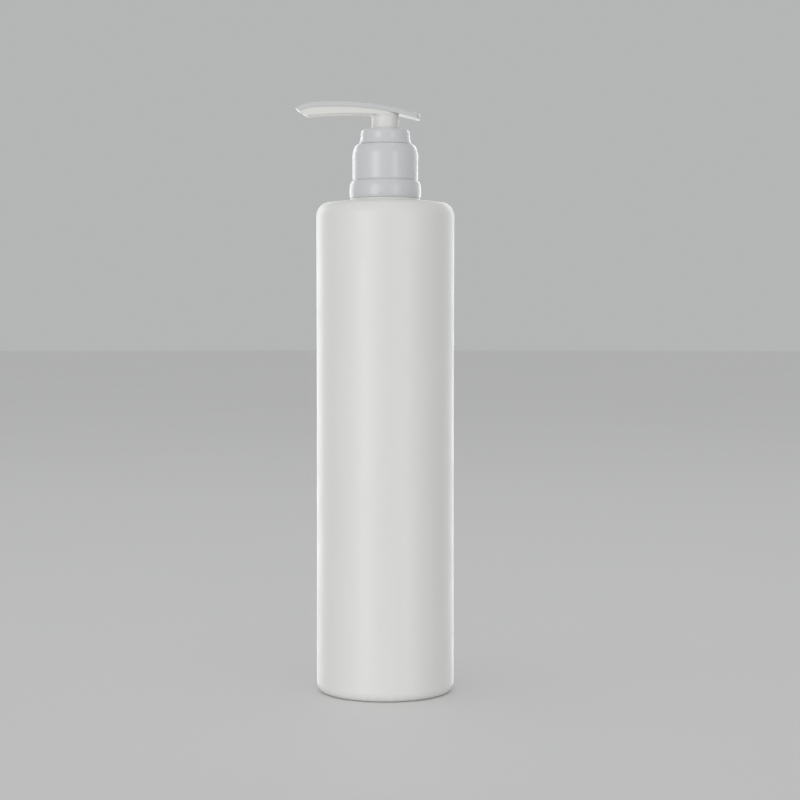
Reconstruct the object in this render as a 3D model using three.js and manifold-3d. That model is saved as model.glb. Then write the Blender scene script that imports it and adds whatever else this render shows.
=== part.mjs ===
// A tall round 500 ml bottle with a screw-on lotion pump, standing upright with the pump pressed down.
// Millimetres, +Z up. The origin is on the bottle's axis in the plane it stands on, and the nozzle points along -X.
// Every mesh is one moulded or turned piece, modelled from its own lower edge and set at its height in the stack.

import * as THREE from "three";
import { mergeVertices } from "three/addons/utils/BufferGeometryUtils.js";
import Module from "manifold-3d";

const wasm = await Module();
wasm.setup();

// ---- Driving dimensions ----

const GAP = 0.25; // between pieces that touch on the real object
const SLIDE = 0.1; // radial clearance of a piece that slides in another

// Bottle
const BODY_RADIUS = 30;
const SHOULDER_HEIGHT = 213.1;
const WALL = 1.1;
const BASE_CORNER = { across: 3.3, up: 4.1 };
const SHOULDER_CORNER = { across: 5, up: 6 };
const STANDING_RING = { inner: 21, outer: BODY_RADIUS - BASE_CORNER.across };
const PUSH_UP = { inner: 12.5, outer: 19.5, depth: 1.4 };
const CENTRE_PAD = { radius: 11, height: 0.2 };

// Neck finish, 24 mm with 8 threads per inch
const NECK_TOP = 232;
const NECK_RADIUS = 10.75;
const NECK_BORE = 9.3;
const NECK_FOOT = { radius: 13.6, height: 216.4, ledgeRadius: 15.2, ledgeHeight: 214.7, fillet: 1.6 };
const THREAD_PITCH = 25.4 / 8;
const NECK_THREAD = { bead: 1, start: 224.6, turns: 1.5 };
const CLOSURE_THREAD = { bead: 0.8, start: NECK_THREAD.start - THREAD_PITCH / 2, turns: 1.25 };

// Closure, the screw cap
const CLOSURE_BOTTOM = 215;
const CLOSURE_HEIGHT = 23.5;
const CLOSURE_BORE = 12.2;
const SKIRT_BAND = { radius: 15.55, widest: 3.2, tuckIn: 0.5, across: 1.3, up: 4.4, bore: 14.2 };
const CLOSURE_BODY = { radius: 14.25, foot: 8.1, groove: 0.4 };
const CLOSURE_DOME = { across: 2.75, up: 5.5 };
const CLOSURE_HOLE = 10.7;

// Gasket and pump housing
const GASKET = { bore: NECK_BORE - 0.05, radius: 11.5, thickness: 1 };
const FLANGE = { radius: 11.7, thickness: 1.6 };
const FLANGE_BOTTOM = NECK_TOP + GASKET.thickness + 2 * GAP;
const CUP = { bore: 8.3, radius: 9, floor: 230.1 };
const COLLAR = { radius: 9.2, bead: 9.55, top: 240.2 };
const BARREL = { bore: 5.4, radius: 6.4, bottom: 192 };
const VALVE = { throat: 1.4, chamber: 3.2, seat: 187 };
const NIPPLE = { bore: 2.6, radius: 3.7, bottom: 178, stop: 186 };
const VENT = { radius: 0.6, height: 221 };

// Chaplet, the ring that holds the closure on the housing
const CHAPLET_BOTTOM = CLOSURE_BOTTOM + CLOSURE_HEIGHT + GAP;
const CHAPLET_TOP = 244.8;
const CHAPLET = { foot: 11.75, waist: 10.65, flare: 4.2, rim: 10.55, edge: 1.5, bore: 7.4 };
const SPIGOT = { bore: 9.75, radius: 10.4, bead: 9.35 };
const WELL_FLOOR = 231.5;
const GUIDE_SLEEVE = { bore: 3.8, radius: 4.9, bottom: 226 };

// Lock lugs: the head's pass between the chaplet's and turn under them
const LUG = { halfAngle: 25, radius: 7.2, bottom: 240.6, thickness: 1.2 };
const LOCK_RIB = { halfAngle: 45, bore: 6.95, bottom: 242.1, thickness: 1.5 };

// Moving inner parts, with the pump pressed down
const STEM = { radius: 3.6, bore: 2.2, bottom: 206.2, top: 250 };
const PORT = { width: 1.6, height: 2 };
const SEAT = { flange: 4.7, bottom: 203.1, flangeThickness: 1.2, spigot: 2.05, top: 211 };
const PISTON = { bottom: 204.8, height: 7.2 };
const SPRING = { radius: 4, wire: 0.4, bottom: 194.15, top: 202.45, turns: 8 };
const SPRING_SEAT = { radius: 5.1, bore: 3.4, bottom: 192.3, thickness: 1.2, hub: 1.2, spoke: 0.9 };
const BALL_RADIUS = 2;
const DIP_TUBE = { radius: 2.5, bore: 1.8, bottom: 5, bevel: 45 };

// Head
const HEAD_STEM = { radius: 5.9, foot: 6.7, footTop: 245.4, flare: 0.7 };
const HEAD_SKIRT = { bottom: 232, bore: 5.1, ceiling: 244 };
const WING = { tip: -39, tail: 15.1, crest: -22, top: 257, fall: 0.00416, beakStart: -31, beakFall: 0.0297 };
const COVER = { thickness: 2.4, halfWidth: 6.1, tipHalfWidth: 4.05, tailHalfWidth: 5, tailCorner: 2.6 };
const DUCT = { crest: -15.5, bottom: 251.4, fall: 0.00277, tipHalfWidth: 3.9, fillet: 1 };
const END_FACE = { topX: -39, topZ: 253.9, lowX: -33.8, lowZ: 250.4 };
const CHANNEL = { halfWidth: 1.8, depth: 1.4 };
const TONGUE = { halfWidth: 1.5, depth: 0.4 };

const ROUND = 40; // sides of the large round pieces
const SMALL = 24; // sides of the small ones

// ---- Shape helpers ----

// A turned piece from its outline of [radius, height] points, listed outside upwards and inside downwards.
function turned(outline, sides = ROUND) {
  const points = outline.map(([radius, height]) => new THREE.Vector2(radius, height));
  if (outline[0][0] > 0) points.push(points[0].clone());
  return new THREE.LatheGeometry(points, sides).rotateX(Math.PI / 2);
}

// Points of an elliptical arc for an outline, both ends included.
function arc(centreRadius, centreHeight, across, up, startDegrees, endDegrees, steps) {
  return Array.from({ length: steps + 1 }, (_, i) => {
    const angle = THREE.MathUtils.degToRad(startDegrees + ((endDegrees - startDegrees) * i) / steps);
    return [centreRadius + across * Math.cos(angle), centreHeight + up * Math.sin(angle)];
  });
}

// A ring sector of the given height, centred on an angle.
function sector(inner, outer, centreDegrees, halfAngle, height) {
  const from = THREE.MathUtils.degToRad(centreDegrees - halfAngle);
  const to = THREE.MathUtils.degToRad(centreDegrees + halfAngle);
  const shape = new THREE.Shape();
  shape.absarc(0, 0, outer, from, to, false);
  shape.absarc(0, 0, inner, to, from, true);
  shape.closePath();
  return new THREE.ExtrudeGeometry(shape, { depth: height, bevelEnabled: false, curveSegments: 4 });
}

// A shape drawn in X and Z, made solid from y = -halfWidth to y = halfWidth.
function acrossY(shape, halfWidth, curveSegments = 12) {
  const solid = new THREE.ExtrudeGeometry(shape, { depth: 2 * halfWidth, bevelEnabled: false, curveSegments });
  return solid.rotateX(Math.PI / 2).translate(0, halfWidth, 0);
}

// A right-hand helix up the Z axis.
class Helix extends THREE.Curve {
  constructor(radius, pitch, turns, start) {
    super();
    Object.assign(this, { radius, pitch, turns, start });
  }

  getPoint(t, target = new THREE.Vector3()) {
    const angle = 2 * Math.PI * this.turns * t;
    const height = this.start + this.pitch * this.turns * t;
    return target.set(this.radius * Math.cos(angle), this.radius * Math.sin(angle), height);
  }
}

// A round bar wound along a helix.
function wound(helix, barRadius, stepsPerTurn, sides) {
  const section = new THREE.Shape().absarc(0, 0, barRadius, 0, 2 * Math.PI, false);
  const steps = Math.round(helix.turns * stepsPerTurn);
  return new THREE.ExtrudeGeometry(section, { extrudePath: helix, steps, curveSegments: sides / 2 });
}

function bar(radius, length, sides = SMALL) {
  return new THREE.CylinderGeometry(radius, radius, length, sides).rotateX(Math.PI / 2);
}

function solidOf(geometry) {
  const bare = geometry.clone();
  bare.deleteAttribute("normal");
  bare.deleteAttribute("uv");
  const merged = mergeVertices(bare, 1e-4);
  const vertProperties = merged.getAttribute("position").array;
  const triVerts = new Uint32Array(merged.index.array);
  return new wasm.Manifold(new wasm.Mesh({ numProp: 3, vertProperties, triVerts }));
}

function geometryOf(solid) {
  const { vertProperties, triVerts } = solid.getMesh();
  const geometry = new THREE.BufferGeometry();
  geometry.setAttribute("position", new THREE.BufferAttribute(vertProperties, 3));
  geometry.setIndex(new THREE.BufferAttribute(triVerts, 1));
  return geometry;
}

function joined(...geometries) {
  return geometryOf(geometries.map(solidOf).reduce((whole, part) => whole.add(part)));
}

function common(...geometries) {
  return geometryOf(geometries.map(solidOf).reduce((whole, part) => whole.intersect(part)));
}

function cut(geometry, ...tools) {
  return geometryOf(tools.map(solidOf).reduce((left, tool) => left.subtract(tool), solidOf(geometry)));
}

// ---- The bottle ----

function bottleGeometry() {
  const foot = NECK_FOOT;
  const corner = SHOULDER_CORNER;
  const cornerCentre = [BODY_RADIUS - corner.across, SHOULDER_HEIGHT - corner.up];
  const outside = [
    [0, CENTRE_PAD.height],
    [CENTRE_PAD.radius, CENTRE_PAD.height],
    [PUSH_UP.inner, PUSH_UP.depth],
    [PUSH_UP.outer, PUSH_UP.depth],
    [STANDING_RING.inner, 0],
    ...arc(STANDING_RING.outer, BASE_CORNER.up, BASE_CORNER.across, BASE_CORNER.up, -90, 0, 5),
    ...arc(...cornerCentre, corner.across, corner.up, 0, 90, 6),
    ...arc(foot.ledgeRadius + foot.fillet, foot.ledgeHeight, foot.fillet, foot.fillet, 270, 180, 3),
    [foot.radius, foot.ledgeHeight],
    [foot.radius, foot.height],
    [foot.radius - 0.6, foot.height + 0.5],
    [NECK_RADIUS, foot.height + 0.8],
    [NECK_RADIUS, NECK_TOP - 0.4],
    [NECK_RADIUS - 0.4, NECK_TOP],
  ];
  const innerCorner = { across: BASE_CORNER.across - 0.6, up: BASE_CORNER.up - 0.6 };
  const floor = 1.3;
  const inside = [
    [NECK_BORE + 0.4, NECK_TOP],
    [NECK_BORE, NECK_TOP - 0.4],
    [NECK_BORE, SHOULDER_HEIGHT + 2],
    [NECK_BORE + 1.8, SHOULDER_HEIGHT - 0.3],
    ...arc(...cornerCentre, corner.across - WALL, corner.up - WALL, 90, 0, 4),
    ...arc(BODY_RADIUS - WALL - innerCorner.across, floor + innerCorner.up, innerCorner.across, innerCorner.up, 0, -90, 3),
    [STANDING_RING.inner + 0.5, floor],
    [PUSH_UP.outer + 0.3, PUSH_UP.depth + floor],
    [PUSH_UP.inner - 0.3, PUSH_UP.depth + floor],
    [CENTRE_PAD.radius - 0.5, CENTRE_PAD.height + floor],
    [0, CENTRE_PAD.height + floor],
  ];
  const helix = new Helix(NECK_RADIUS, THREAD_PITCH, NECK_THREAD.turns, NECK_THREAD.start);
  return joined(turned([...outside, ...inside]), wound(helix, NECK_THREAD.bead, 20, 8));
}

// ---- The pieces that screw or snap onto the neck, each measured from its own lower edge ----

function closureGeometry() {
  const band = SKIRT_BAND;
  const lip = FLANGE_BOTTOM + FLANGE.thickness + GAP - CLOSURE_BOTTOM;
  const bandFoot = arc(band.radius - band.tuckIn, band.widest, band.tuckIn, band.widest, -90, 0, 4);
  const bandCrown = arc(band.radius - band.across, band.widest, band.across, band.up, 0, 80, 5).slice(1);
  const domeFoot = CLOSURE_HEIGHT - CLOSURE_DOME.up;
  const domeCentre = CLOSURE_BODY.radius - CLOSURE_DOME.across;
  const shell = turned([
    [band.bore, 0],
    ...bandFoot,
    ...bandCrown,
    [CLOSURE_BODY.radius - CLOSURE_BODY.groove, CLOSURE_BODY.foot - 0.35],
    [CLOSURE_BODY.radius, CLOSURE_BODY.foot],
    ...arc(domeCentre, domeFoot, CLOSURE_DOME.across, CLOSURE_DOME.up, 0, 90, 6),
    [CLOSURE_HOLE, CLOSURE_HEIGHT],
    [CLOSURE_HOLE, lip],
    [CLOSURE_BORE, lip],
    [CLOSURE_BORE, 2.6],
    [band.bore, 2.2],
  ]);
  const start = CLOSURE_THREAD.start - CLOSURE_BOTTOM;
  const helix = new Helix(CLOSURE_BORE + 0.05, THREAD_PITCH, CLOSURE_THREAD.turns, start);
  return joined(shell, wound(helix, CLOSURE_THREAD.bead, 20, 8));
}

function chapletGeometry() {
  const at = (height) => height - CHAPLET_BOTTOM;
  const spigotBottom = at(FLANGE_BOTTOM + FLANGE.thickness + GAP);
  const body = turned([
    [SPIGOT.radius, 0],
    [CHAPLET.foot, 0],
    ...arc(CHAPLET.foot, CHAPLET.flare + 0.2, CHAPLET.foot - CHAPLET.waist, CHAPLET.flare, 270, 180, 5),
    [CHAPLET.rim, at(CHAPLET_TOP - CHAPLET.edge)],
    ...arc(CHAPLET.rim - CHAPLET.edge, at(CHAPLET_TOP - CHAPLET.edge), CHAPLET.edge, CHAPLET.edge, 20, 90, 3),
    [CHAPLET.bore + 0.3, at(CHAPLET_TOP)],
    [CHAPLET.bore, at(CHAPLET_TOP) - 0.3],
    [CHAPLET.bore, at(WELL_FLOOR)],
    [GUIDE_SLEEVE.bore, at(WELL_FLOOR)],
    [GUIDE_SLEEVE.bore, at(GUIDE_SLEEVE.bottom)],
    [GUIDE_SLEEVE.radius, at(GUIDE_SLEEVE.bottom)],
    [GUIDE_SLEEVE.radius, at(CUP.floor + GAP)],
    [CUP.bore - GAP, at(CUP.floor + GAP)],
    [CUP.bore - GAP, at(COLLAR.top + GAP)],
    [SPIGOT.bore, at(COLLAR.top + GAP)],
    [SPIGOT.bore, spigotBottom + 2.2],
    [SPIGOT.bead, spigotBottom + 1.8],
    [SPIGOT.bead, spigotBottom + 1],
    [SPIGOT.bore, spigotBottom],
    [SPIGOT.radius, spigotBottom],
  ]);
  const ribs = [90, 270].map((centre) =>
    sector(LOCK_RIB.bore, CHAPLET.bore + 0.3, centre, LOCK_RIB.halfAngle, LOCK_RIB.thickness)
      .translate(0, 0, at(LOCK_RIB.bottom)));
  return joined(body, ...ribs);
}

function gasketGeometry() {
  return turned([
    [GASKET.bore, 0],
    [GASKET.radius, 0],
    [GASKET.radius, GASKET.thickness],
    [GASKET.bore, GASKET.thickness],
  ]);
}

function housingGeometry() {
  const at = (height) => height - NIPPLE.bottom;
  const flangeTop = FLANGE_BOTTOM + FLANGE.thickness;
  const seatTop = VALVE.seat + VALVE.chamber - VALVE.throat;
  const body = turned([
    [NIPPLE.bore, 0],
    [NIPPLE.radius, 0],
    [NIPPLE.radius, at(NIPPLE.stop) + 0.5],
    [BARREL.radius, at(BARREL.bottom) - 2],
    [BARREL.radius, at(CUP.floor) - 1.9],
    [CUP.radius, at(CUP.floor) - 0.7],
    [CUP.radius, at(FLANGE_BOTTOM)],
    [FLANGE.radius, at(FLANGE_BOTTOM)],
    [FLANGE.radius, at(flangeTop)],
    [COLLAR.radius, at(flangeTop)],
    [COLLAR.radius, at(COLLAR.top) - 2],
    [COLLAR.bead, at(COLLAR.top) - 1.7],
    [COLLAR.bead, at(COLLAR.top) - 1.1],
    [COLLAR.radius - 0.2, at(COLLAR.top)],
    [CUP.bore, at(COLLAR.top)],
    [CUP.bore, at(CUP.floor)],
    [BARREL.bore, at(CUP.floor)],
    [BARREL.bore, at(BARREL.bottom)],
    [VALVE.chamber, at(BARREL.bottom)],
    [VALVE.chamber, at(seatTop)],
    [VALVE.throat, at(VALVE.seat)],
    [VALVE.throat, at(NIPPLE.stop)],
    [NIPPLE.bore, at(NIPPLE.stop)],
  ], SMALL);
  const vent = new THREE.CylinderGeometry(VENT.radius, VENT.radius, BARREL.radius, 12);
  return cut(body, vent.translate(0, BARREL.radius, at(VENT.height)));
}

// ---- Inside the pump ----

function dipTubeGeometry() {
  const length = NIPPLE.stop - GAP - DIP_TUBE.bottom;
  const tube = turned([
    [DIP_TUBE.bore, 0],
    [DIP_TUBE.radius, 0],
    [DIP_TUBE.radius, length],
    [DIP_TUBE.bore, length],
  ], 16);
  const size = 6 * DIP_TUBE.radius;
  const wedge = new THREE.BoxGeometry(size, size, size).translate(0, 0, -size / 2);
  wedge.rotateY(THREE.MathUtils.degToRad(-DIP_TUBE.bevel)).translate(0, 0, DIP_TUBE.radius);
  return cut(tube, wedge);
}

function springSeatGeometry() {
  const { radius, bore, thickness, hub, spoke } = SPRING_SEAT;
  const ring = turned([[bore, 0], [radius, 0], [radius, thickness], [bore, thickness]], SMALL);
  const middle = bar(hub, thickness, 16).translate(0, 0, thickness / 2);
  const spokes = [0, 60, 120].map((degrees) =>
    new THREE.BoxGeometry(2 * bore + 0.8, spoke, thickness)
      .translate(0, 0, thickness / 2)
      .rotateZ(THREE.MathUtils.degToRad(degrees)));
  return joined(ring, middle, ...spokes);
}

function springGeometry() {
  const pitch = (SPRING.top - SPRING.bottom) / SPRING.turns;
  return wound(new Helix(SPRING.radius, pitch, SPRING.turns, 0), SPRING.wire, 12, 6);
}

function stemGeometry() {
  const length = STEM.top - STEM.bottom;
  const tube = turned([[STEM.bore, 0], [STEM.radius, 0], [STEM.radius, length], [STEM.bore, length]], SMALL);
  const port = new THREE.BoxGeometry(3 * STEM.radius, PORT.width, 2 * PORT.height);
  return cut(tube, port, port.clone().rotateZ(Math.PI / 2));
}

function pistonSeatGeometry() {
  const at = (height) => height - SEAT.bottom;
  const guide = 2;
  const guideLength = 3;
  const flangeTop = SEAT.flangeThickness;
  const body = turned([
    [0, -guideLength],
    [guide - 0.4, -guideLength],
    [guide, 0.4 - guideLength],
    [guide, 0],
    [SEAT.flange, 0],
    [SEAT.flange, flangeTop],
    [STEM.radius + 0.3, flangeTop],
    [STEM.radius - 0.2, flangeTop + 0.9],
    [STEM.radius - 0.4, at(STEM.bottom) - GAP],
    [SEAT.spigot, at(STEM.bottom) - GAP],
    [SEAT.spigot, at(SEAT.top) - 0.4],
    [SEAT.spigot - 0.4, at(SEAT.top)],
    [0, at(SEAT.top)],
  ], SMALL);
  const fluteLength = SEAT.top - STEM.bottom + 2;
  const flutes = [45, 135, 225, 315].map((degrees) =>
    bar(0.8, fluteLength, 8)
      .translate(SEAT.spigot, 0, at(STEM.bottom) + fluteLength / 2)
      .rotateZ(THREE.MathUtils.degToRad(degrees)));
  return cut(body, ...flutes);
}

function pistonGeometry() {
  const lip = BARREL.bore - SLIDE;
  const waist = lip - 0.35;
  const bore = STEM.radius + SLIDE + 0.02;
  return turned([
    [bore + 0.8, 0],
    [lip, 0],
    [lip, 0.6],
    [waist, 1.8],
    [waist, PISTON.height - 1.8],
    [lip, PISTON.height - 0.6],
    [lip, PISTON.height],
    [lip - 0.35, PISTON.height],
    [lip - 0.7, PISTON.height - 1],
    [bore + 0.5, PISTON.height - 1],
    [bore + 0.3, PISTON.height],
    [bore, PISTON.height],
    [bore, 1.5],
  ], SMALL);
}

// ---- The head: a nozzle body with an open channel, and the curved plate that closes it ----

// Height of the wing's upper surface.
function wingTop(x) {
  const beak = Math.min(x - WING.beakStart, 0);
  return WING.top - WING.fall * (x - WING.crest) ** 2 - WING.beakFall * beak ** 2;
}

// Height of the duct's underside.
function ductBottom(x) {
  return DUCT.bottom - DUCT.fall * (x - DUCT.crest) ** 2;
}

// Points [x, height] along a curve of the head, seen from the side.
function along(height, fromX, toX, steps) {
  return Array.from({ length: steps + 1 }, (_, i) => {
    const x = fromX + ((toX - fromX) * i) / steps;
    return new THREE.Vector2(x, height(x));
  });
}

// X of the slanted end face at a height.
function endFaceX(z) {
  const share = (END_FACE.topZ - z) / (END_FACE.topZ - END_FACE.lowZ);
  return END_FACE.topX + share * (END_FACE.lowX - END_FACE.topX);
}

function coverPlan() {
  const { halfWidth, tipHalfWidth, tailHalfWidth, tailCorner } = COVER;
  const past = WING.tip - 1;
  const plan = new THREE.Shape();
  plan.moveTo(past, -tipHalfWidth);
  plan.quadraticCurveTo(-15, -halfWidth, 0, -halfWidth);
  plan.quadraticCurveTo(8, -halfWidth, WING.tail - tailCorner, -tailHalfWidth);
  plan.quadraticCurveTo(WING.tail, -tailHalfWidth, WING.tail, tailCorner - tailHalfWidth);
  plan.lineTo(WING.tail, tailHalfWidth - tailCorner);
  plan.quadraticCurveTo(WING.tail, tailHalfWidth, WING.tail - tailCorner, tailHalfWidth);
  plan.quadraticCurveTo(8, halfWidth, 0, halfWidth);
  plan.quadraticCurveTo(-15, halfWidth, past, tipHalfWidth);
  return plan;
}

function upwards(plan, curveSegments) {
  const depth = WING.top + 1;
  return new THREE.ExtrudeGeometry(plan, { depth, bevelEnabled: false, curveSegments });
}

function coverGeometry() {
  const underside = (x) => wingTop(x) - COVER.thickness;
  const lowX = endFaceX(underside(WING.tip) + 0.6);
  const side = new THREE.Shape([
    ...along(underside, lowX, WING.tail, 20),
    ...along(wingTop, WING.tail, WING.tip, 24),
  ]);
  const plate = common(acrossY(side, COVER.halfWidth + 1), upwards(coverPlan(), 6));
  const tongue = new THREE.Shape([
    ...along((x) => underside(x) - TONGUE.depth, lowX + 3, -3, 14),
    ...along((x) => underside(x) + 0.5, -3, lowX + 3, 14),
  ]);
  return joined(plate, acrossY(tongue, TONGUE.halfWidth));
}

function nozzlePlan() {
  const past = WING.tip - 1;
  const plan = new THREE.Shape();
  plan.moveTo(past, -DUCT.tipHalfWidth);
  plan.lineTo(0, -HEAD_STEM.radius);
  plan.absarc(0, 0, HEAD_STEM.radius, -Math.PI / 2, Math.PI / 2, false);
  plan.lineTo(past, DUCT.tipHalfWidth);
  return plan;
}

function actuatorGeometry() {
  const top = (x) => wingTop(x) - COVER.thickness - GAP;
  const stemTop = DUCT.bottom - 2.5;
  const stemSide = -HEAD_STEM.radius;
  const filletX = stemSide - DUCT.fillet;
  const upperX = endFaceX(top(WING.tip) + 0.6);
  const side = new THREE.Shape([
    ...along(ductBottom, END_FACE.lowX, filletX, 14),
    new THREE.Vector2(stemSide - 0.2, ductBottom(filletX) - DUCT.fillet),
    new THREE.Vector2(stemSide + 0.2, stemTop),
    new THREE.Vector2(HEAD_STEM.radius, stemTop),
    ...along(top, HEAD_STEM.radius, upperX, 24),
  ]);
  const duct = common(acrossY(side, HEAD_STEM.radius), upwards(nozzlePlan(), 12));
  const { radius, foot, footTop, flare } = HEAD_STEM;
  const stem = turned([
    [HEAD_SKIRT.bore, HEAD_SKIRT.bottom],
    [foot - 0.3, HEAD_SKIRT.bottom],
    [foot, HEAD_SKIRT.bottom + 0.3],
    [foot, footTop - flare],
    [radius + 0.2, footTop],
    [radius, footTop + flare],
    [radius, stemTop + 0.5],
    [STEM.bore, stemTop + 0.5],
    [STEM.bore, HEAD_SKIRT.ceiling],
    [HEAD_SKIRT.bore, HEAD_SKIRT.ceiling],
  ]);
  const lugs = [0, 180].map((centre) =>
    sector(foot - 0.3, LUG.radius, centre, LUG.halfAngle, LUG.thickness).translate(0, 0, LUG.bottom));
  const socketLength = STEM.top + GAP - HEAD_SKIRT.ceiling;
  const socket = bar(STEM.radius + SLIDE, socketLength).translate(0, 0, HEAD_SKIRT.ceiling + socketLength / 2);
  const riserLength = 4;
  const riser = bar(CHANNEL.halfWidth, riserLength).translate(0, 0, STEM.top + riserLength / 2);
  const groove = new THREE.Shape([
    ...along((x) => top(x) - CHANNEL.depth, WING.tip - 2, 0, 16),
    ...along((x) => top(x) + 2, 0, WING.tip - 2, 16),
  ]);
  return cut(joined(duct, stem, ...lugs), socket, riser, acrossY(groove, CHANNEL.halfWidth));
}

// ---- The assembly ----

function plastic(color, roughness) {
  return new THREE.MeshStandardMaterial({ color, roughness, metalness: 0 });
}

function steel() {
  return new THREE.MeshStandardMaterial({ color: 0xb9bcc0, roughness: 0.3, metalness: 1 });
}

function piece(name, geometry, material, height = 0) {
  const mesh = new THREE.Mesh(geometry, material);
  mesh.name = name;
  mesh.position.z = height;
  return mesh;
}

function ballHeight() {
  const restingGap = 0.08;
  return VALVE.seat - VALVE.throat + (BALL_RADIUS + restingGap) * Math.SQRT2;
}

const head = new THREE.Group();
head.add(
  piece("actuator", actuatorGeometry(), plastic(0xdcddd6, 0.35)),
  piece("actuator_cover", coverGeometry(), plastic(0xc9cac8, 0.32)),
);

const rod = new THREE.Group();
rod.add(
  piece("stem", stemGeometry(), plastic(0xe6e6e0, 0.4), STEM.bottom),
  piece("piston_seat", pistonSeatGeometry(), plastic(0xe6e6e0, 0.4), SEAT.bottom),
  piece("piston", pistonGeometry(), plastic(0xeef0ee, 0.5), PISTON.bottom),
  head,
);

const pump = new THREE.Group();
pump.add(
  piece("chaplet", chapletGeometry(), plastic(0xcfd0d2, 0.3), CHAPLET_BOTTOM),
  piece("housing", housingGeometry(), plastic(0xe9eae6, 0.45), NIPPLE.bottom),
  piece("gasket", gasketGeometry(), plastic(0xf2f2ee, 0.8), NECK_TOP + GAP),
  piece("dip_tube", dipTubeGeometry(), plastic(0xecece6, 0.5), DIP_TUBE.bottom),
  piece("spring_seat", springSeatGeometry(), plastic(0xe6e6e0, 0.45), SPRING_SEAT.bottom),
  piece("spring", springGeometry(), steel(), SPRING.bottom),
  piece("inlet_ball", new THREE.SphereGeometry(BALL_RADIUS, 16, 10), steel(), ballHeight()),
  rod,
);

const pumpBottle = new THREE.Group();
pumpBottle.add(
  piece("bottle", bottleGeometry(), plastic(0xe4e4e0, 0.5)),
  piece("closure", closureGeometry(), plastic(0xcfd0d2, 0.3), CLOSURE_BOTTOM),
  pump,
);

export default pumpBottle;
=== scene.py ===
# A tall round shampoo bottle with a screw-on lotion pump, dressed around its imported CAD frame.
# Outlines are in millimetres, like the part's own drawing, and turned into metres when a mesh is made.
import cmath
import math

import bmesh
import bpy
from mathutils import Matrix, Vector


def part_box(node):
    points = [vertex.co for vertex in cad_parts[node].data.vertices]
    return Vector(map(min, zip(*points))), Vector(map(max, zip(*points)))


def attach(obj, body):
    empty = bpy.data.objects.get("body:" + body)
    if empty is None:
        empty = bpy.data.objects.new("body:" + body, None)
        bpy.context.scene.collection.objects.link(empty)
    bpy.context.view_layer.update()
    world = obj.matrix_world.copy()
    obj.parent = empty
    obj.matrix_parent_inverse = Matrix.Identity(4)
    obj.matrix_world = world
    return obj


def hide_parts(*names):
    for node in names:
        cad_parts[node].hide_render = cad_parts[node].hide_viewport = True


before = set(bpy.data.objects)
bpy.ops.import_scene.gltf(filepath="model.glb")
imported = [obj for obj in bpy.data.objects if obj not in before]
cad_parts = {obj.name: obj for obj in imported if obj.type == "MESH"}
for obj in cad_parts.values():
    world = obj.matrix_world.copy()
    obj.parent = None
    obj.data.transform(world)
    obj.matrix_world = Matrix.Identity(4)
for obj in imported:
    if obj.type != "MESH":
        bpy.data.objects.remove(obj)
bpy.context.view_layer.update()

MM = 0.001

# ---- Dimensions the visible pieces share with the part, in millimetres ----

BODY_RADIUS = 30
WALL = 1.1
WAIST = 0.12  # how far the body draws in half-way up, as blown bottles do
SHOULDER_HEIGHT = 213.1
SHOULDER_CORNER = {"across": 5, "up": 6}
FOOT_CORNER = {"across": 3.3, "up": 4.1}
FLOOR_THICKNESS = 1.3
NECK_RADIUS = 10.75
NECK_BORE = 9.3
THREAD_PITCH = 25.4 / 8
NECK_THREAD = {"start": 224.6, "turns": 1.5, "bead": 1.0}
CLOSURE_THREAD = {"start": NECK_THREAD["start"] - THREAD_PITCH / 2, "turns": 1.25, "bead": 0.8}
CLOSURE_BORE = 12.2
CLOSURE_RADIUS = 14.25
CLOSURE_HOLE = 10.7
BAND = {"widest": 3.2, "across": 1.3, "up": 4.4, "tuck_in": 0.5, "bore": 14.2}
DOME = {"across": 2.75, "up": 5.5}
CHAPLET_BORE = 7.4
STEM_RADIUS = 5.9
FOOT_RADIUS = 6.7
DUCT_TIP_HALF_WIDTH = 3.9
COVER_HALF_WIDTH = 6.1
COVER_THICKNESS = 2.4
CHANNEL = {"half_width": 1.8, "depth": 1.4, "corner": 0.5}
SEAM = 0.06  # between pieces that touch
THREAD_STEP = 0.16  # height between rings where a wall carries a thread, a rib or a lug
SIDES = 160


def top_of(node):
    """Height of a CAD node's top, in millimetres."""
    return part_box(node)[1].z / MM


def bottom_of(node):
    """Height of a CAD node's lowest point, in millimetres."""
    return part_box(node)[0].z / MM


NECK_TOP = top_of("bottle")
CLOSURE_BOTTOM, CLOSURE_TOP = bottom_of("closure"), top_of("closure")
CHAPLET_TOP = top_of("chaplet")
WING_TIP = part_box("actuator_cover")[0].x / MM
WING_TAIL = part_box("actuator_cover")[1].x / MM
HEAD_BOTTOM = bottom_of("actuator")


# ---- Shape helpers ----

def lerp(a, b, share):
    return a + (b - a) * share


def arc(centre_radius, centre_height, across, up, start, end, steps):
    """Points of an elliptical arc, both ends included, angles in degrees."""
    angles = [math.radians(lerp(start, end, i / steps)) for i in range(steps + 1)]
    return [(centre_radius + across * math.cos(a), centre_height + up * math.sin(a)) for a in angles]


def fillet(before, corner, after, radius, steps=4):
    """Points of the arc that rounds a corner, with points as complex numbers."""
    towards = (before - corner) / abs(before - corner)
    away = (after - corner) / abs(after - corner)
    half = abs(cmath.phase(away / towards)) / 2
    centre = corner + (towards + away) / abs(towards + away) * radius / math.sin(half)
    start = corner + towards * radius / math.tan(half) - centre
    end = corner + away * radius / math.tan(half) - centre
    turn = cmath.phase(end / start)
    return [centre + start * cmath.exp(1j * turn * i / steps) for i in range(steps + 1)]


def filleted(corners):
    """An outline in which each corner given as (radius, height, fillet) has become an arc."""
    spots = [complex(c[0], c[1]) for c in corners]
    outline = []
    for i, corner in enumerate(corners):
        if len(corner) == 2:
            outline.append(corner)
            continue
        after = spots[(i + 1) % len(spots)]
        outline += [(p.real, p.imag) for p in fillet(spots[i - 1], spots[i], after, corner[2])]
    return outline


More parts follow.
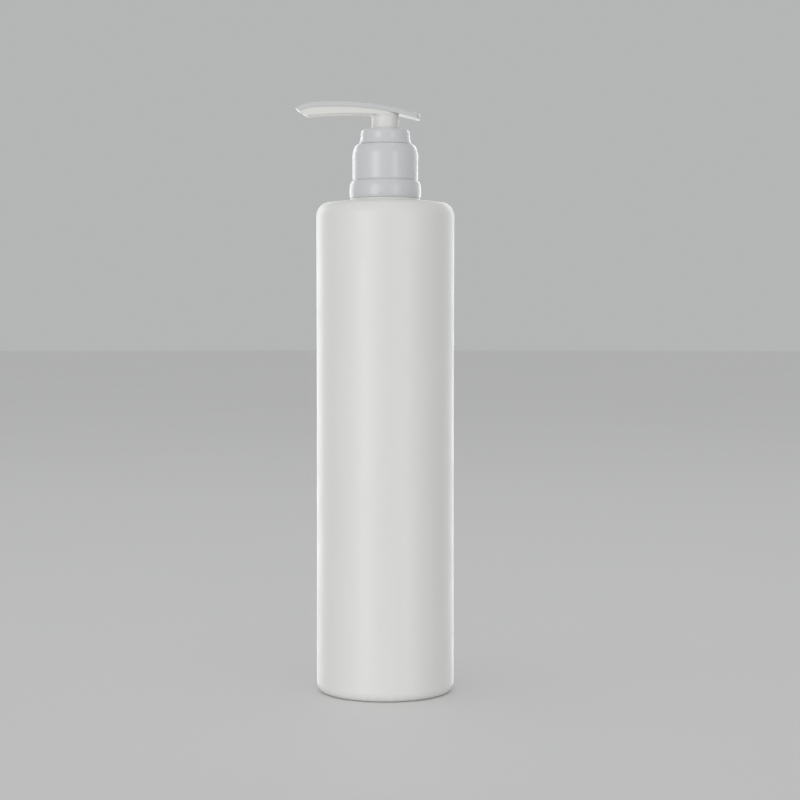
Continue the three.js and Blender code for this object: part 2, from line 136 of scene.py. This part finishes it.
def stepped(start, end, step):
    """Points from start to end of an outline, no further apart than a step."""
    count = math.ceil(math.dist(start, end) / step)
    return [(lerp(start[0], end[0], i / count), lerp(start[1], end[1], i / count)) for i in range(count + 1)]


def mesh_object(name, mesh):
    """The finished object of a bmesh, with its faces turned outwards."""
    bmesh.ops.recalc_face_normals(mesh, faces=mesh.faces)
    data = bpy.data.meshes.new(name)
    mesh.to_mesh(data)
    mesh.free()
    obj = bpy.data.objects.new(name, data)
    bpy.context.scene.collection.objects.link(obj)
    return obj


def skin(name, rings, around=False):
    """A closed mesh over rings of points in millimetres.

    A ring of one point is a pole, and around joins the last ring to the first.
    """
    mesh = bmesh.new()
    made = [[mesh.verts.new(Vector(p) * MM) for p in ring] for ring in rings]
    pairs = list(zip(made, made[1:]))
    if around:
        pairs.append((made[-1], made[0]))
    for lower, upper in pairs:
        count = max(len(lower), len(upper))
        for i in range(count):
            j = (i + 1) % count
            below = (lower[i % len(lower)], lower[j % len(lower)])
            above = (upper[j % len(upper)], upper[i % len(upper)])
            mesh.faces.new(dict.fromkeys(below + above))
    if not around:
        for ring in (made[0], made[-1]):
            if len(ring) > 1:
                mesh.faces.new(ring)
    return mesh_object(name, mesh)


def turned(name, outline, bend=None, sides=SIDES):
    """A turned mesh. bend(angle, radius, height) may give each point a new radius and height."""
    rings = []
    for radius, height in outline:
        ring = []
        for i in range(sides if radius > 0 else 1):
            angle = 2 * math.pi * i / sides
            r, z = bend(angle, radius, height) if bend else (radius, height)
            ring.append((r * math.cos(angle), r * math.sin(angle), z))
        rings.append(ring)
    return skin(name, rings, around=outline[0][0] > 0)


def thread_height(angle, height, thread):
    """How far a right-hand thread stands proud of its wall at an angle and height."""
    for whole in range(math.ceil(thread["turns"]) + 1):
        along = whole + angle / (2 * math.pi)
        offset = abs(height - thread["start"] - THREAD_PITCH * along) / thread["bead"]
        if along <= thread["turns"] and offset < 1:
            run_out = min(1, along / 0.07, (thread["turns"] - along) / 0.07)
            return thread["bead"] * run_out * math.sqrt(1 - offset ** 2)
    return 0


def plateau(value, centre, half_width, slope):
    """1 within half_width of the centre, falling to 0 over the slope."""
    return max(0, min(1, (half_width + slope - abs(value - centre)) / slope))


def degrees_between(angle, centre):
    """Angle in degrees from a centre direction, from -180 to 180."""
    return (math.degrees(angle) - centre + 180) % 360 - 180


def combined(target, tool, operation):
    """The target after an exact boolean with a tool, which is used up."""
    step = target.modifiers.new(operation, "BOOLEAN")
    step.operation = operation
    step.solver = "EXACT"
    step.object = tool
    graph = bpy.context.evaluated_depsgraph_get()
    result = bpy.data.meshes.new_from_object(target.evaluated_get(graph))
    target.modifiers.clear()
    target.data = result
    bpy.data.objects.remove(tool)
    return target


# ---- The bottle ----

def bottle_shell():
    across, up = SHOULDER_CORNER["across"], SHOULDER_CORNER["up"]
    centre = (BODY_RADIUS - across, SHOULDER_HEIGHT - up)
    shoulder = arc(*centre, across, up, 0, 90, 20)
    inner_shoulder = arc(*centre, across - WALL, up - WALL, 90, 0, 12)
    foot_across, foot_up = FOOT_CORNER["across"], FOOT_CORNER["up"]
    foot = arc(BODY_RADIUS - foot_across, foot_up, foot_across, foot_up, -90, 0, 20)
    inner_across, inner_up = foot_across - 0.6, foot_up - 0.6
    inner_foot = arc(BODY_RADIUS - WALL - inner_across, FLOOR_THICKNESS + inner_up,
                     inner_across, inner_up, 0, -90, 10)
    side = [(BODY_RADIUS - WAIST * math.sin(math.pi * i / 20), lerp(foot_up, SHOULDER_HEIGHT - up, i / 20))
            for i in range(1, 20)]
    ledge = CLOSURE_BOTTOM - SEAM
    neck_foot = arc(16.8, ledge - 0.14, 1.6, 1.7, 270, 180, 10)
    outline = filleted([
        (0, 0.2),
        (11, 0.2, 0.5),
        (12.5, 1.4, 0.5),
        (19.5, 1.4, 0.6),
        (21, 0, 0.5),
        *foot,
        *side,
        *shoulder,
        *neck_foot,
        (15.1, ledge),
        (13.6, ledge, 0.1),
        (13.6, 216.4, 0.3),
        (13, 216.9),
        (NECK_RADIUS, 217.2),
        *stepped((NECK_RADIUS, 223), (NECK_RADIUS, 231), THREAD_STEP),
        (NECK_RADIUS, NECK_TOP, 0.3),
        (NECK_BORE, NECK_TOP, 0.3),
        (NECK_BORE, 215.1, 0.8),
        (11.1, SHOULDER_HEIGHT - 0.3, 0.8),
        *inner_shoulder,
        *inner_foot,
        (21.5, FLOOR_THICKNESS),
        (19.8, 2.7, 0.5),
        (12.2, 2.7, 0.5),
        (10.5, 1.5, 0.5),
        (0, 1.5),
    ])

    def bend(angle, radius, height):
        if abs(radius - NECK_RADIUS) < 0.01:
            radius += thread_height(angle, height, NECK_THREAD)
        return radius, height

    return turned("bottle_shell", outline, bend)


# ---- The collar: closure and chaplet ----

def closure_shell():
    at = CLOSURE_BOTTOM
    lip = 235.35
    widest = at + BAND["widest"]
    band_foot = arc(CLOSURE_RADIUS + BAND["across"] - BAND["tuck_in"], widest,
                    BAND["tuck_in"], BAND["widest"], -60, 0, 10)
    band_crown = arc(CLOSURE_RADIUS, widest, BAND["across"], BAND["up"], 0, 88, 20)[1:]
    dome = arc(CLOSURE_RADIUS - DOME["across"], CLOSURE_TOP - DOME["up"],
               DOME["across"], DOME["up"], 0, 90, 20)
    outline = filleted([
        (BAND["bore"], at),
        (15.24, at, 0.1),
        *band_foot,
        *band_crown,
        (13.8, at + 7.75, 0.1),
        (CLOSURE_RADIUS, at + 8.4, 0.4),
        *dome,
        (CLOSURE_HOLE, CLOSURE_TOP, 0.15),
        (CLOSURE_HOLE, lip, 0.1),
        (CLOSURE_BORE, lip),
        *stepped((CLOSURE_BORE, 229), (CLOSURE_BORE, 221), THREAD_STEP),
        (CLOSURE_BORE, at + 2.6, 0.3),
        (BAND["bore"], at + 2.2, 0.3),
    ])

    def bend(angle, radius, height):
        if abs(radius - CLOSURE_BORE) < 0.01:
            radius -= thread_height(angle, height, CLOSURE_THREAD)
        return radius, height

    return turned("closure_shell", outline, bend)


def chaplet_ring():
    base = CLOSURE_TOP + SEAM
    outline = filleted([
        (10.4, base),
        (11.75, base),
        *arc(11.75, base + 4.3, 1.1, 4.2, 270, 180, 12),
        *arc(9.05, CHAPLET_TOP - 1.5, 1.5, 1.5, 0, 90, 10),
        (CHAPLET_BORE, CHAPLET_TOP, 0.25),
        *stepped((CHAPLET_BORE, 244.1), (CHAPLET_BORE, 241.6), THREAD_STEP),
        (CHAPLET_BORE, 231.5, 0.3),
        (3.8, 231.5, 0.2),
        (3.8, 226, 0.2),
        (4.9, 226, 0.2),
        (4.9, 230.35, 0.2),
        (8.05, 230.35, 0.2),
        (8.05, 240.45, 0.2),
        (9.75, 240.45, 0.2),
        (9.75, 237.55, 0.15),
        (9.35, 237.15, 0.15),
        (9.35, 236.35, 0.15),
        (9.75, 235.35),
        (10.4, 235.35),
    ])

    def bend(angle, radius, height):
        # the two lock ribs inside the bore
        if abs(radius - CHAPLET_BORE) < 0.01:
            turn = min(abs(degrees_between(angle, 90)), abs(degrees_between(angle, 270)))
            radius -= 0.45 * plateau(turn, 0, 44, 2) * plateau(height, 242.85, 0.6, 0.15)
        return radius, height

    return turned("chaplet_ring", outline, bend)


# ---- The head ----

def wing_top(x):
    """Height of the wing's upper surface."""
    return 256.99 - 0.00416 * (x + 22) ** 2 - 0.0297 * min(x + 31, 0) ** 2


def cover_underside(x):
    return wing_top(x) - COVER_THICKNESS


def duct_top(x):
    return cover_underside(x) - SEAM / 2


def duct_bottom(x):
    """Height of the duct's underside."""
    return 251.4 - 0.00277 * (x + 15.5) ** 2


def end_face_x(z):
    """Where the slanted end face stands at a height."""
    return lerp(-39, -33.8, (253.9 - z) / 3.5)


def settled(share, far, height):
    """The point (x, z) on the curve height(x), a share of the way from the slanted end face to x = far."""
    x = lerp(-36, far, share)
    for _ in range(12):
        x = (x + lerp(end_face_x(height(x)), far, share)) / 2
    return x, height(x)


def duct_half_width(x):
    """Half the duct's width: straight sides that run on into the round stem."""
    if x < 0:
        return lerp(STEM_RADIUS, DUCT_TIP_HALF_WIDTH, -x / 40)
    return math.sqrt(max(STEM_RADIUS ** 2 - x ** 2, 0.01))


def cover_half_width(x):
    """Half the cover's width: narrow at the tip, widest over the stem, rounded at the tail."""
    if x < 0:
        return COVER_HALF_WIDTH - 2.05 * (x / WING_TIP) ** 1.2
    width = COVER_HALF_WIDTH - 1.1 * (x / 12.5) ** 2
    corner = max(0, (x - 12.6) / (WING_TAIL - 12.6))
    return width - 2.5 * (1 - math.sqrt(max(0, 1 - corner ** 2)))


def section(share, far, inset, bottom, top, half_width, low_round, high_round):
    """One ring of a loft along the head, from the middle of the top round by +y and the underside."""
    def spot(pull_in, from_bottom, from_top):
        def height(x):
            if from_top is None:
                return bottom(x) + from_bottom + inset
            return top(x) - from_top - inset
        x, z = settled(share, far, height)
        return x, max(0.01, half_width(x) - pull_in - inset), z

    side = [spot(high_round * (1 - math.sin(a)), 0, high_round * (1 - math.cos(a)))
            for a in (math.radians(90 * i / 6) for i in range(7))]
    side += [spot(low_round * (1 - math.cos(a)), low_round * (1 - math.sin(a)), None)
             for a in (math.radians(90 * i / 6) for i in range(7))]
    middle_top = [(side[0][0], 0, side[0][2])]
    middle_low = [(side[-1][0], 0, side[-1][2])]
    return middle_top + side + middle_low + [(x, -y, z) for x, y, z in reversed(side)]


def loft(name, far, ends, steps, rounding, *shape):
    """A bar along the head from the slanted end face to x = far, with the edges of both ends rounded."""
    length = far + 36
    turns = [math.radians(30 * i) for i in range(4)]
    near = [((1 - math.sin(a)) * ends[0], (1 - math.cos(a)) * ends[0]) for a in turns]
    tail = [((1 - math.sin(a)) * ends[1], (1 - math.cos(a)) * ends[1]) for a in turns]
    rings = [section(along / length, far, pulled, *shape, *rounding) for pulled, along in near]
    rings += [section(i / steps, far, 0, *shape, *rounding) for i in range(1, steps)]
    rings += [section(1 - along / length, far, pulled, *shape, *rounding) for pulled, along in reversed(tail)]
    return skin(name, rings)


def cover_plate():
    rounding = (0.08, 1.35)
    shape = (cover_underside, wing_top, cover_half_width)
    return loft("cover_plate", WING_TAIL, (0.16, 0.3), 80, rounding, *shape)


def nozzle_duct():
    rounding = (0.6, 0.06)
    return loft("nozzle_duct", 5.7, (0.14, 0.02), 70, rounding, duct_bottom, duct_top, duct_half_width)


def plan_reach(angle):
    """How far the duct's plan reaches from the stem's axis in a direction."""
    if math.cos(angle) >= -1e-9:
        return STEM_RADIUS
    slope = (STEM_RADIUS - DUCT_TIP_HALF_WIDTH) / 40
    return STEM_RADIUS / (abs(math.sin(angle)) - slope * math.cos(angle))


def nozzle_stem():
    """The head's upright tube, from its skirt up into the duct, with its lugs and a fillet under the duct."""
    on_duct = 1000  # heights from here on are measured from the duct's underside
    fillet_radius = 1.1
    fillet_points = arc(STEM_RADIUS + fillet_radius, -fillet_radius, fillet_radius, fillet_radius, 180, 92, 8)
    outline = filleted([
        (0, 244),
        (5.1, 244, 0.5),
        (5.1, HEAD_BOTTOM, 0.1),
        (6.6, HEAD_BOTTOM, 0.15),
        (FOOT_RADIUS, HEAD_BOTTOM + 0.4),
        *stepped((FOOT_RADIUS, 240.2), (FOOT_RADIUS, 242.2), THREAD_STEP),
        (FOOT_RADIUS, 244.75, 0.4),
        (6.08, 245.4, 0.4),
        (STEM_RADIUS, 246.3, 0.6),
        (STEM_RADIUS, 249),
        *[(radius, on_duct + height) for radius, height in fillet_points],
        (STEM_RADIUS - 0.6, on_duct + 0.6),
        (0, on_duct + 0.6),
    ])

    def bend(angle, radius, height):
        if height > on_duct / 2:
            reach = min(radius, plan_reach(angle))
            return reach, duct_bottom(reach * math.cos(angle)) + height - on_duct
        if abs(radius - FOOT_RADIUS) < 0.01:
            turn = min(abs(degrees_between(angle, 0)), abs(degrees_between(angle, 180)))
            radius += 0.5 * plateau(turn, 0, 24, 2) * plateau(height, 241.2, 0.45, 0.15)
        return radius, height

    return turned("nozzle", outline, bend)


def upright(name, radius, bottom, top):
    return turned(name, [(0, bottom), (radius, bottom), (radius, top), (0, top)], sides=48)


def channel_cutter():
    """The channel under the cover, open at the nozzle's mouth, with rounded lower corners."""
    half_width, depth, corner = CHANNEL["half_width"], CHANNEL["depth"], CHANNEL["corner"]
    rings = []
    for i in range(61):
        x = lerp(-41, 0, i / 60)
        floor = duct_top(x) - depth
        low = [(half_width - corner * (1 - math.cos(a)), floor + corner * (1 - math.sin(a)))
               for a in (math.radians(90 * k / 5) for k in range(6))]
        half = [(half_width, duct_top(x) + 1)] + low
        rings.append([(x, y, z) for y, z in half] + [(x, -y, z) for y, z in reversed(half)])
    return skin("channel", rings)


def nozzle():
    body = combined(nozzle_stem(), nozzle_duct(), "UNION")
    combined(body, upright("socket", 3.7, 243.5, 250.25), "DIFFERENCE")
    combined(body, upright("riser", 1.75, 249.5, 256), "DIFFERENCE")
    return combined(body, channel_cutter(), "DIFFERENCE")


# ---- Materials ----

class Finish:
    """A node material around one Principled shader, with short-hands for wiring it."""

    def __init__(self, name, **constants):
        self.material = bpy.data.materials.new(name)
        self.material.use_nodes = True
        self.tree = self.material.node_tree
        self.shader = self.tree.nodes["Principled BSDF"]
        for socket, value in constants.items():
            self.shader.inputs[socket.replace("_", " ")].default_value = value
        self.place = self.node("ShaderNodeTexCoord").outputs["Object"]

    def node(self, kind, **settings):
        made = self.tree.nodes.new(kind)
        for key, value in settings.items():
            setattr(made, key, value)
        return made

    def feed(self, socket, value):
        if isinstance(value, bpy.types.NodeSocket):
            self.tree.links.new(value, socket)
        else:
            socket.default_value = value

    def noise(self, scale, stretch=(1, 1, 1), detail=2.0, place=None):
        mapping = self.node("ShaderNodeMapping")
        self.feed(mapping.inputs["Vector"], place or self.place)
        mapping.inputs["Scale"].default_value = stretch
        texture = self.node("ShaderNodeTexNoise")
        texture.inputs["Scale"].default_value = scale
        texture.inputs["Detail"].default_value = detail
        self.feed(texture.inputs["Vector"], mapping.outputs["Vector"])
        return texture.outputs["Fac"]

    def cells(self, scale):
        texture = self.node("ShaderNodeTexVoronoi")
        texture.inputs["Scale"].default_value = scale
        self.feed(texture.inputs["Vector"], self.place)
        return texture.outputs["Distance"]

    def axis(self, letter):
        split = self.node("ShaderNodeSeparateXYZ")
        self.feed(split.inputs["Vector"], self.place)
        return split.outputs[letter]

    def math(self, operation, first, second=0.0):
        made = self.node("ShaderNodeMath", operation=operation)
        self.feed(made.inputs[0], first)
        self.feed(made.inputs[1], second)
        return made.outputs["Value"]

    def remap(self, value, low, high, to_low=0.0, to_high=1.0):
        made = self.node("ShaderNodeMapRange", interpolation_type="SMOOTHSTEP")
        for i, item in enumerate((value, low, high, to_low, to_high)):
            self.feed(made.inputs[i], item)
        return made.outputs["Result"]

    def blend(self, share, first, second):
        made = self.node("ShaderNodeMix", data_type="RGBA")
        self.feed(made.inputs["Factor"], share)
        self.feed(made.inputs[6], first)
        self.feed(made.inputs[7], second)
        return made.outputs[2]

    def bump(self, height, distance, over=None):
        made = self.node("ShaderNodeBump")
        made.inputs["Distance"].default_value = distance
        self.feed(made.inputs["Height"], height)
        if over is not None:
            self.feed(made.inputs["Normal"], over)
        return made.outputs["Normal"]

    def set(self, socket, value):
        self.feed(self.shader.inputs[socket], value)


def shade(color, factor):
    return (color[0] * factor, color[1] * factor, color[2] * factor, 1.0)


def moulded(name, color, roughness, grain, waves, ior=1.5):
    """A moulded plastic: faint cloudiness, fine skin texture, slow waviness and a few dull rub marks."""
    finish = Finish(name, IOR=ior)
    cloud = finish.remap(finish.noise(22, (1, 1, 0.35), 3.0), 0.3, 0.7)
    streak = finish.remap(finish.noise(160, (1, 1, 0.05), 2.0), 0.35, 0.65)
    tint = finish.blend(cloud, shade(color, 0.985), shade(color, 1.01))
    tint = finish.blend(finish.math("MULTIPLY", streak, 0.35), tint, shade(color, 0.975))
    speck = finish.remap(finish.noise(1500, detail=1.0), 0.72, 0.78)
    finish.set("Base Color", finish.blend(speck, tint, shade(color, 0.93)))
    rub = finish.remap(finish.noise(420, (1, 1, 0.12), 4.0), 0.6, 0.72)
    patch = finish.remap(finish.noise(35, detail=2.0), 0.5, 0.7)
    scuff = finish.math("MULTIPLY", rub, patch)
    uneven = finish.remap(finish.noise(70, detail=3.0), 0.25, 0.75, roughness - 0.03, roughness + 0.04)
    finish.set("Roughness", finish.math("ADD", uneven, finish.math("MULTIPLY", scuff, 0.08)))
    slow = finish.bump(finish.noise(26, (1, 1, 0.3), 1.0), waves)
    finish.set("Normal", finish.bump(finish.noise(1900, detail=2.0), grain, slow))
    return finish


def bottle_finish():
    """Satin blown polyethylene with a parting line down each side and rub marks round the foot."""
    color = (0.80, 0.805, 0.785)
    finish = moulded("hdpe_satin", color, 0.40, 0.000018, 0.00022, ior=1.52)
    slow_and_grain = finish.shader.inputs["Normal"].links[0].from_socket
    beside = finish.math("ABSOLUTE", finish.axis("Y"))
    seam = finish.remap(beside, 0.00008, 0.00028, 1.0, 0.0)
    finish.set("Normal", finish.bump(seam, 0.00006, slow_and_grain))
    tint = finish.shader.inputs["Base Color"].links[0].from_socket
    foot = finish.remap(finish.axis("Z"), 0.0003, 0.0035, 1.0, 0.0)
    marks = finish.remap(finish.noise(700, (1, 1, 0.4), 4.0), 0.48, 0.62)
    worn = finish.math("MULTIPLY", foot, marks)
    tint = finish.blend(finish.math("MULTIPLY", worn, 0.35), tint, shade(color, 0.88))
    finish.set("Base Color", finish.blend(finish.math("MULTIPLY", seam, 0.4), tint, shade(color, 0.95)))
    rough = finish.shader.inputs["Roughness"].links[0].from_socket
    finish.set("Roughness", finish.math("ADD", rough, finish.math("MULTIPLY", worn, 0.2)))
    return finish.material


def foam_finish():
    """Closed-cell liner foam."""
    finish = Finish("liner_foam", Roughness=0.85, IOR=1.45)
    cell = finish.remap(finish.cells(2600), 0.0, 0.7)
    finish.set("Base Color", finish.blend(cell, (0.70, 0.70, 0.67, 1), (0.86, 0.86, 0.83, 1)))
    finish.set("Normal", finish.bump(cell, 0.0001))
    return finish.material


def steel_finish():
    """Drawn stainless wire: bright, with fine drawing marks."""
    finish = Finish("drawn_steel", Metallic=1.0)
    mark = finish.noise(900, (1, 1, 6), 3.0)
    finish.set("Base Color", finish.blend(mark, (0.52, 0.53, 0.55, 1), (0.68, 0.69, 0.70, 1)))
    finish.set("Roughness", finish.remap(mark, 0.3, 0.7, 0.18, 0.34))
    finish.set("Normal", finish.bump(mark, 0.00001))
    return finish.material


# ---- Smooth shading that keeps real edges ----

def smoothing_nodes(sharp_degrees):
    """Geometry nodes that join split vertices and shade smooth across every edge flatter than an angle."""
    group = bpy.data.node_groups.new("smooth_by_angle", "GeometryNodeTree")
    for direction in ("INPUT", "OUTPUT"):
        group.interface.new_socket("Geometry", in_out=direction, socket_type="NodeSocketGeometry")
    source = group.nodes.new("NodeGroupInput")
    target = group.nodes.new("NodeGroupOutput")
    merge = group.nodes.new("GeometryNodeMergeByDistance")
    merge.inputs["Distance"].default_value = 0.001 * MM
    faces = group.nodes.new("GeometryNodeSetShadeSmooth")
    faces.domain = "FACE"
    edges = group.nodes.new("GeometryNodeSetShadeSmooth")
    edges.domain = "EDGE"
    angle = group.nodes.new("GeometryNodeInputMeshEdgeAngle")
    gentle = group.nodes.new("FunctionNodeCompare")
    gentle.operation = "LESS_THAN"
    gentle.inputs[1].default_value = math.radians(sharp_degrees)
    group.links.new(source.outputs[0], merge.inputs["Geometry"])
    group.links.new(merge.outputs["Geometry"], faces.inputs["Geometry"])
    group.links.new(faces.outputs["Geometry"], edges.inputs["Geometry"])
    group.links.new(angle.outputs["Unsigned Angle"], gentle.inputs[0])
    group.links.new(gentle.outputs["Result"], edges.inputs["Shade Smooth"])
    group.links.new(edges.outputs["Geometry"], target.inputs[0])
    return group


def smooth(obj, group):
    obj.modifiers.new("smooth", "NODES").node_group = group
    weights = obj.modifiers.new("weights", "WEIGHTED_NORMAL")
    weights.keep_sharp = True
    weights.weight = 60


# ---- The object ----

smoothing = smoothing_nodes(32)
hdpe = bottle_finish()
collar = moulded("collar_pp", (0.65, 0.66, 0.68), 0.27, 0.000006, 0.00012).material
nozzle_pp = moulded("nozzle_pp", (0.78, 0.78, 0.755), 0.45, 0.000008, 0.0001).material
cover_pp = moulded("cover_pp", (0.63, 0.635, 0.64), 0.28, 0.000008, 0.0001).material
natural_pp = moulded("natural_pp", (0.78, 0.79, 0.77), 0.42, 0.00001, 0.0001).material
tube_pe = moulded("tube_pe", (0.80, 0.81, 0.79), 0.45, 0.00001, 0.0002).material
piston_pe = moulded("piston_pe", (0.84, 0.85, 0.84), 0.5, 0.00001, 0.0001).material
foam = foam_finish()
steel = steel_finish()

# visible pieces: maker, CAD node it stands for, body, material slot, material
NEW_PIECES = [
    (bottle_shell, "bottle", "bottle", "bottle_hdpe", hdpe),
    (closure_shell, "closure", "closure", "collar_pp", collar),
    (chaplet_ring, "chaplet", "pump", "collar_pp", collar),
    (nozzle, "actuator", "head", "head_pp", nozzle_pp),
    (cover_plate, "actuator_cover", "head", "cover_pp", cover_pp),
]
CARRIED_OVER = {
    "housing": natural_pp,
    "stem": natural_pp,
    "piston_seat": natural_pp,
    "spring_seat": natural_pp,
    "dip_tube": tube_pe,
    "piston": piston_pe,
    "gasket": foam,
    "spring": steel,
    "inlet_ball": steel,
}

for make, node, body, slot, material in NEW_PIECES:
    piece = make()
    piece.data.materials.clear()
    piece.data.materials.append(material)
    smooth(piece, smoothing)
    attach(piece, body)
    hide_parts(node)

for node, material in CARRIED_OVER.items():
    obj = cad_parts[node]
    for slot_holder in obj.material_slots:
        slot_holder.material = material
    smooth(obj, smoothing)


# ---- Floor, light and camera ----

def floor_finish():
    finish = Finish("floor", Roughness=0.6)
    patch = finish.noise(3, detail=2.0)
    finish.set("Base Color", finish.blend(patch, (0.90, 0.90, 0.895, 1), (0.93, 0.93, 0.925, 1)))
    return finish.material


def floor():
    mesh = bmesh.new()
    bmesh.ops.create_circle(mesh, cap_ends=True, segments=96, radius=8)
    made = mesh_object("floor", mesh)
    made.data.materials.append(floor_finish())
    return made


def softbox(name, azimuth, elevation, distance, width, height, power):
    """A rectangular light aimed at the bottle's middle. Azimuth 0 is the camera's side, 90 its right."""
    light = bpy.data.lights.new(name, "AREA")
    light.shape = "RECTANGLE"
    light.size = width
    light.size_y = height
    light.energy = power
    obj = bpy.data.objects.new(name, light)
    a, e = math.radians(azimuth), math.radians(elevation)
    back = Vector((math.sin(a) * math.cos(e), -math.cos(a) * math.cos(e), math.sin(e)))
    obj.location = Vector((0, 0, 0.13)) + back * distance
    obj.rotation_euler = (-back).to_track_quat("-Z", "Y").to_euler()
    obj.visible_camera = False
    bpy.context.scene.collection.objects.link(obj)
    return obj


def not_on_floor(light, floor_only):
    """Keeps a light off the floor, which would otherwise burn out where the light stands near it."""
    light.light_linking.receiver_collection = floor_only
    light.light_linking.blocker_collection = floor_only


def room_light(color, strength):
    world = bpy.data.worlds.new("room")
    world.use_nodes = True
    background = world.node_tree.nodes["Background"]
    background.inputs["Color"].default_value = (*color, 1)
    background.inputs["Strength"].default_value = strength
    bpy.context.scene.world = world


def camera():
    """Near level with the bottle's upper half, a long lens, framed a little left of the middle."""
    distance, height, lens, tilt = 0.8293, 0.1645, 85.5, 2.1
    view = bpy.data.cameras.new("camera")
    view.lens = lens
    view.sensor_width = 36
    view.shift_x = 0.0184
    view.shift_y = -0.0194
    obj = bpy.data.objects.new("camera", view)
    obj.location = (0, -distance, height)
    obj.rotation_euler = (math.radians(90 - tilt), 0, 0)
    bpy.context.scene.collection.objects.link(obj)
    bpy.context.scene.camera = obj


spared = bpy.data.collections.new("lit_only_from_above")
spared.objects.link(floor())
spared.collection_objects[0].light_linking.link_state = "EXCLUDE"
room_light((0.99, 1.0, 1.0), 0.465)
softbox("overhead", 0, 88, 1.6, 1.5, 1.5, 3.6)
around = [
    softbox("key_left", -34, 4, 1.2, 0.5, 0.9, 4.6),
    softbox("fill_right", 35, 4, 1.2, 0.24, 0.9, 2.1),
    softbox("side_left", -136, 4, 1.2, 0.25, 0.9, 2.1),
    softbox("side_right", 130, 4, 1.2, 0.25, 0.9, 0.9),
    softbox("back_left", -160, 6, 1.2, 0.8, 1.05, 4.4),
    softbox("back_right", 160, 6, 1.2, 0.8, 1.05, 5.2),
]
for light in around:
    not_on_floor(light, spared)
for light in around[-2:]:  # the back pair only draws bright edges
    light.visible_diffuse = False
camera()
bpy.context.scene.view_settings.view_transform = "Standard"
